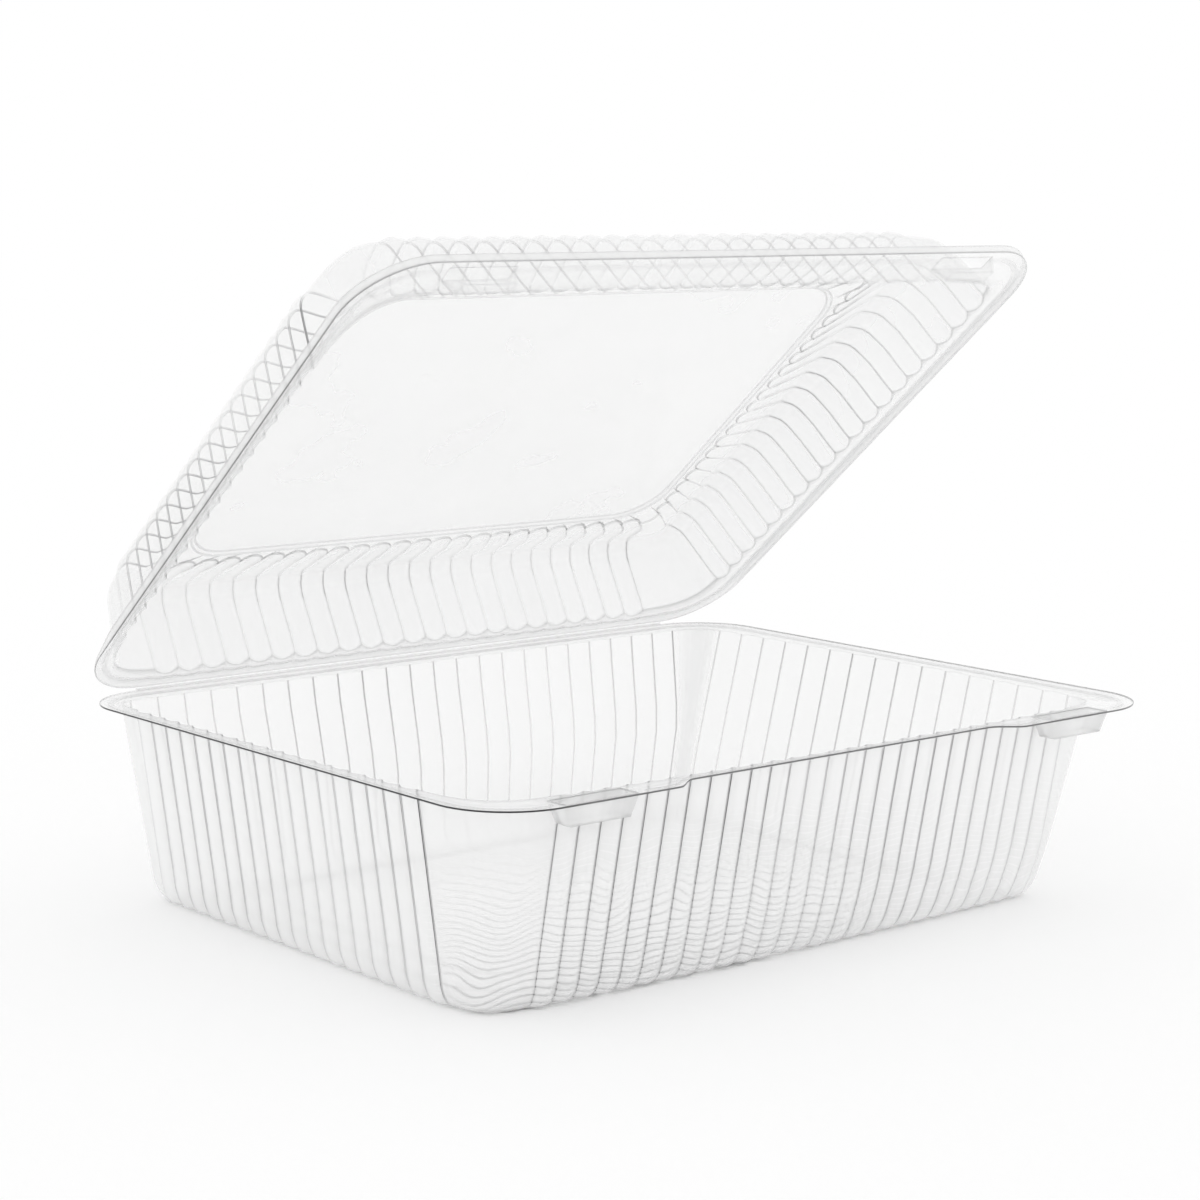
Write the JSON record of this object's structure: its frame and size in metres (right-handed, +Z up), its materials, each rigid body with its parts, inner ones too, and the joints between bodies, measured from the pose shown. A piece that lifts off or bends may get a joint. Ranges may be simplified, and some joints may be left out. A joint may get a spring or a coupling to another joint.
{
  "type": "plastic clamshell pack",
  "caption": "Clear hinged food container: a deep ribbed tray with snap corner lugs and a shallow ribbed lid, joined by a crease along the back and standing open.",
  "frame": {"origin": "on the ground, in the middle of the footprint of the pack as it stands with its lid open", "axes": "+X along the hinge to the right as seen from the front, +Y to the hinge at the back, +Z up"},
  "size_m": [0.23, 0.1924, 0.1804],
  "materials": {
    "tray_plastic": "clear, glossy",
    "lid_plastic": "clear, glossy"
  },
  "bodies": {
    "base": {"base_tray": "tray_plastic"},
    "lid": {"lid": "lid_plastic"}
  },
  "joints": [
    {"name": "lid_hinge", "type": "hinge", "parent": "base", "child": "lid", "pos_m": [0, 0.09076, 0.0542], "axis": [1, 0, 0], "range_deg": [-140, 40]}
  ]
}
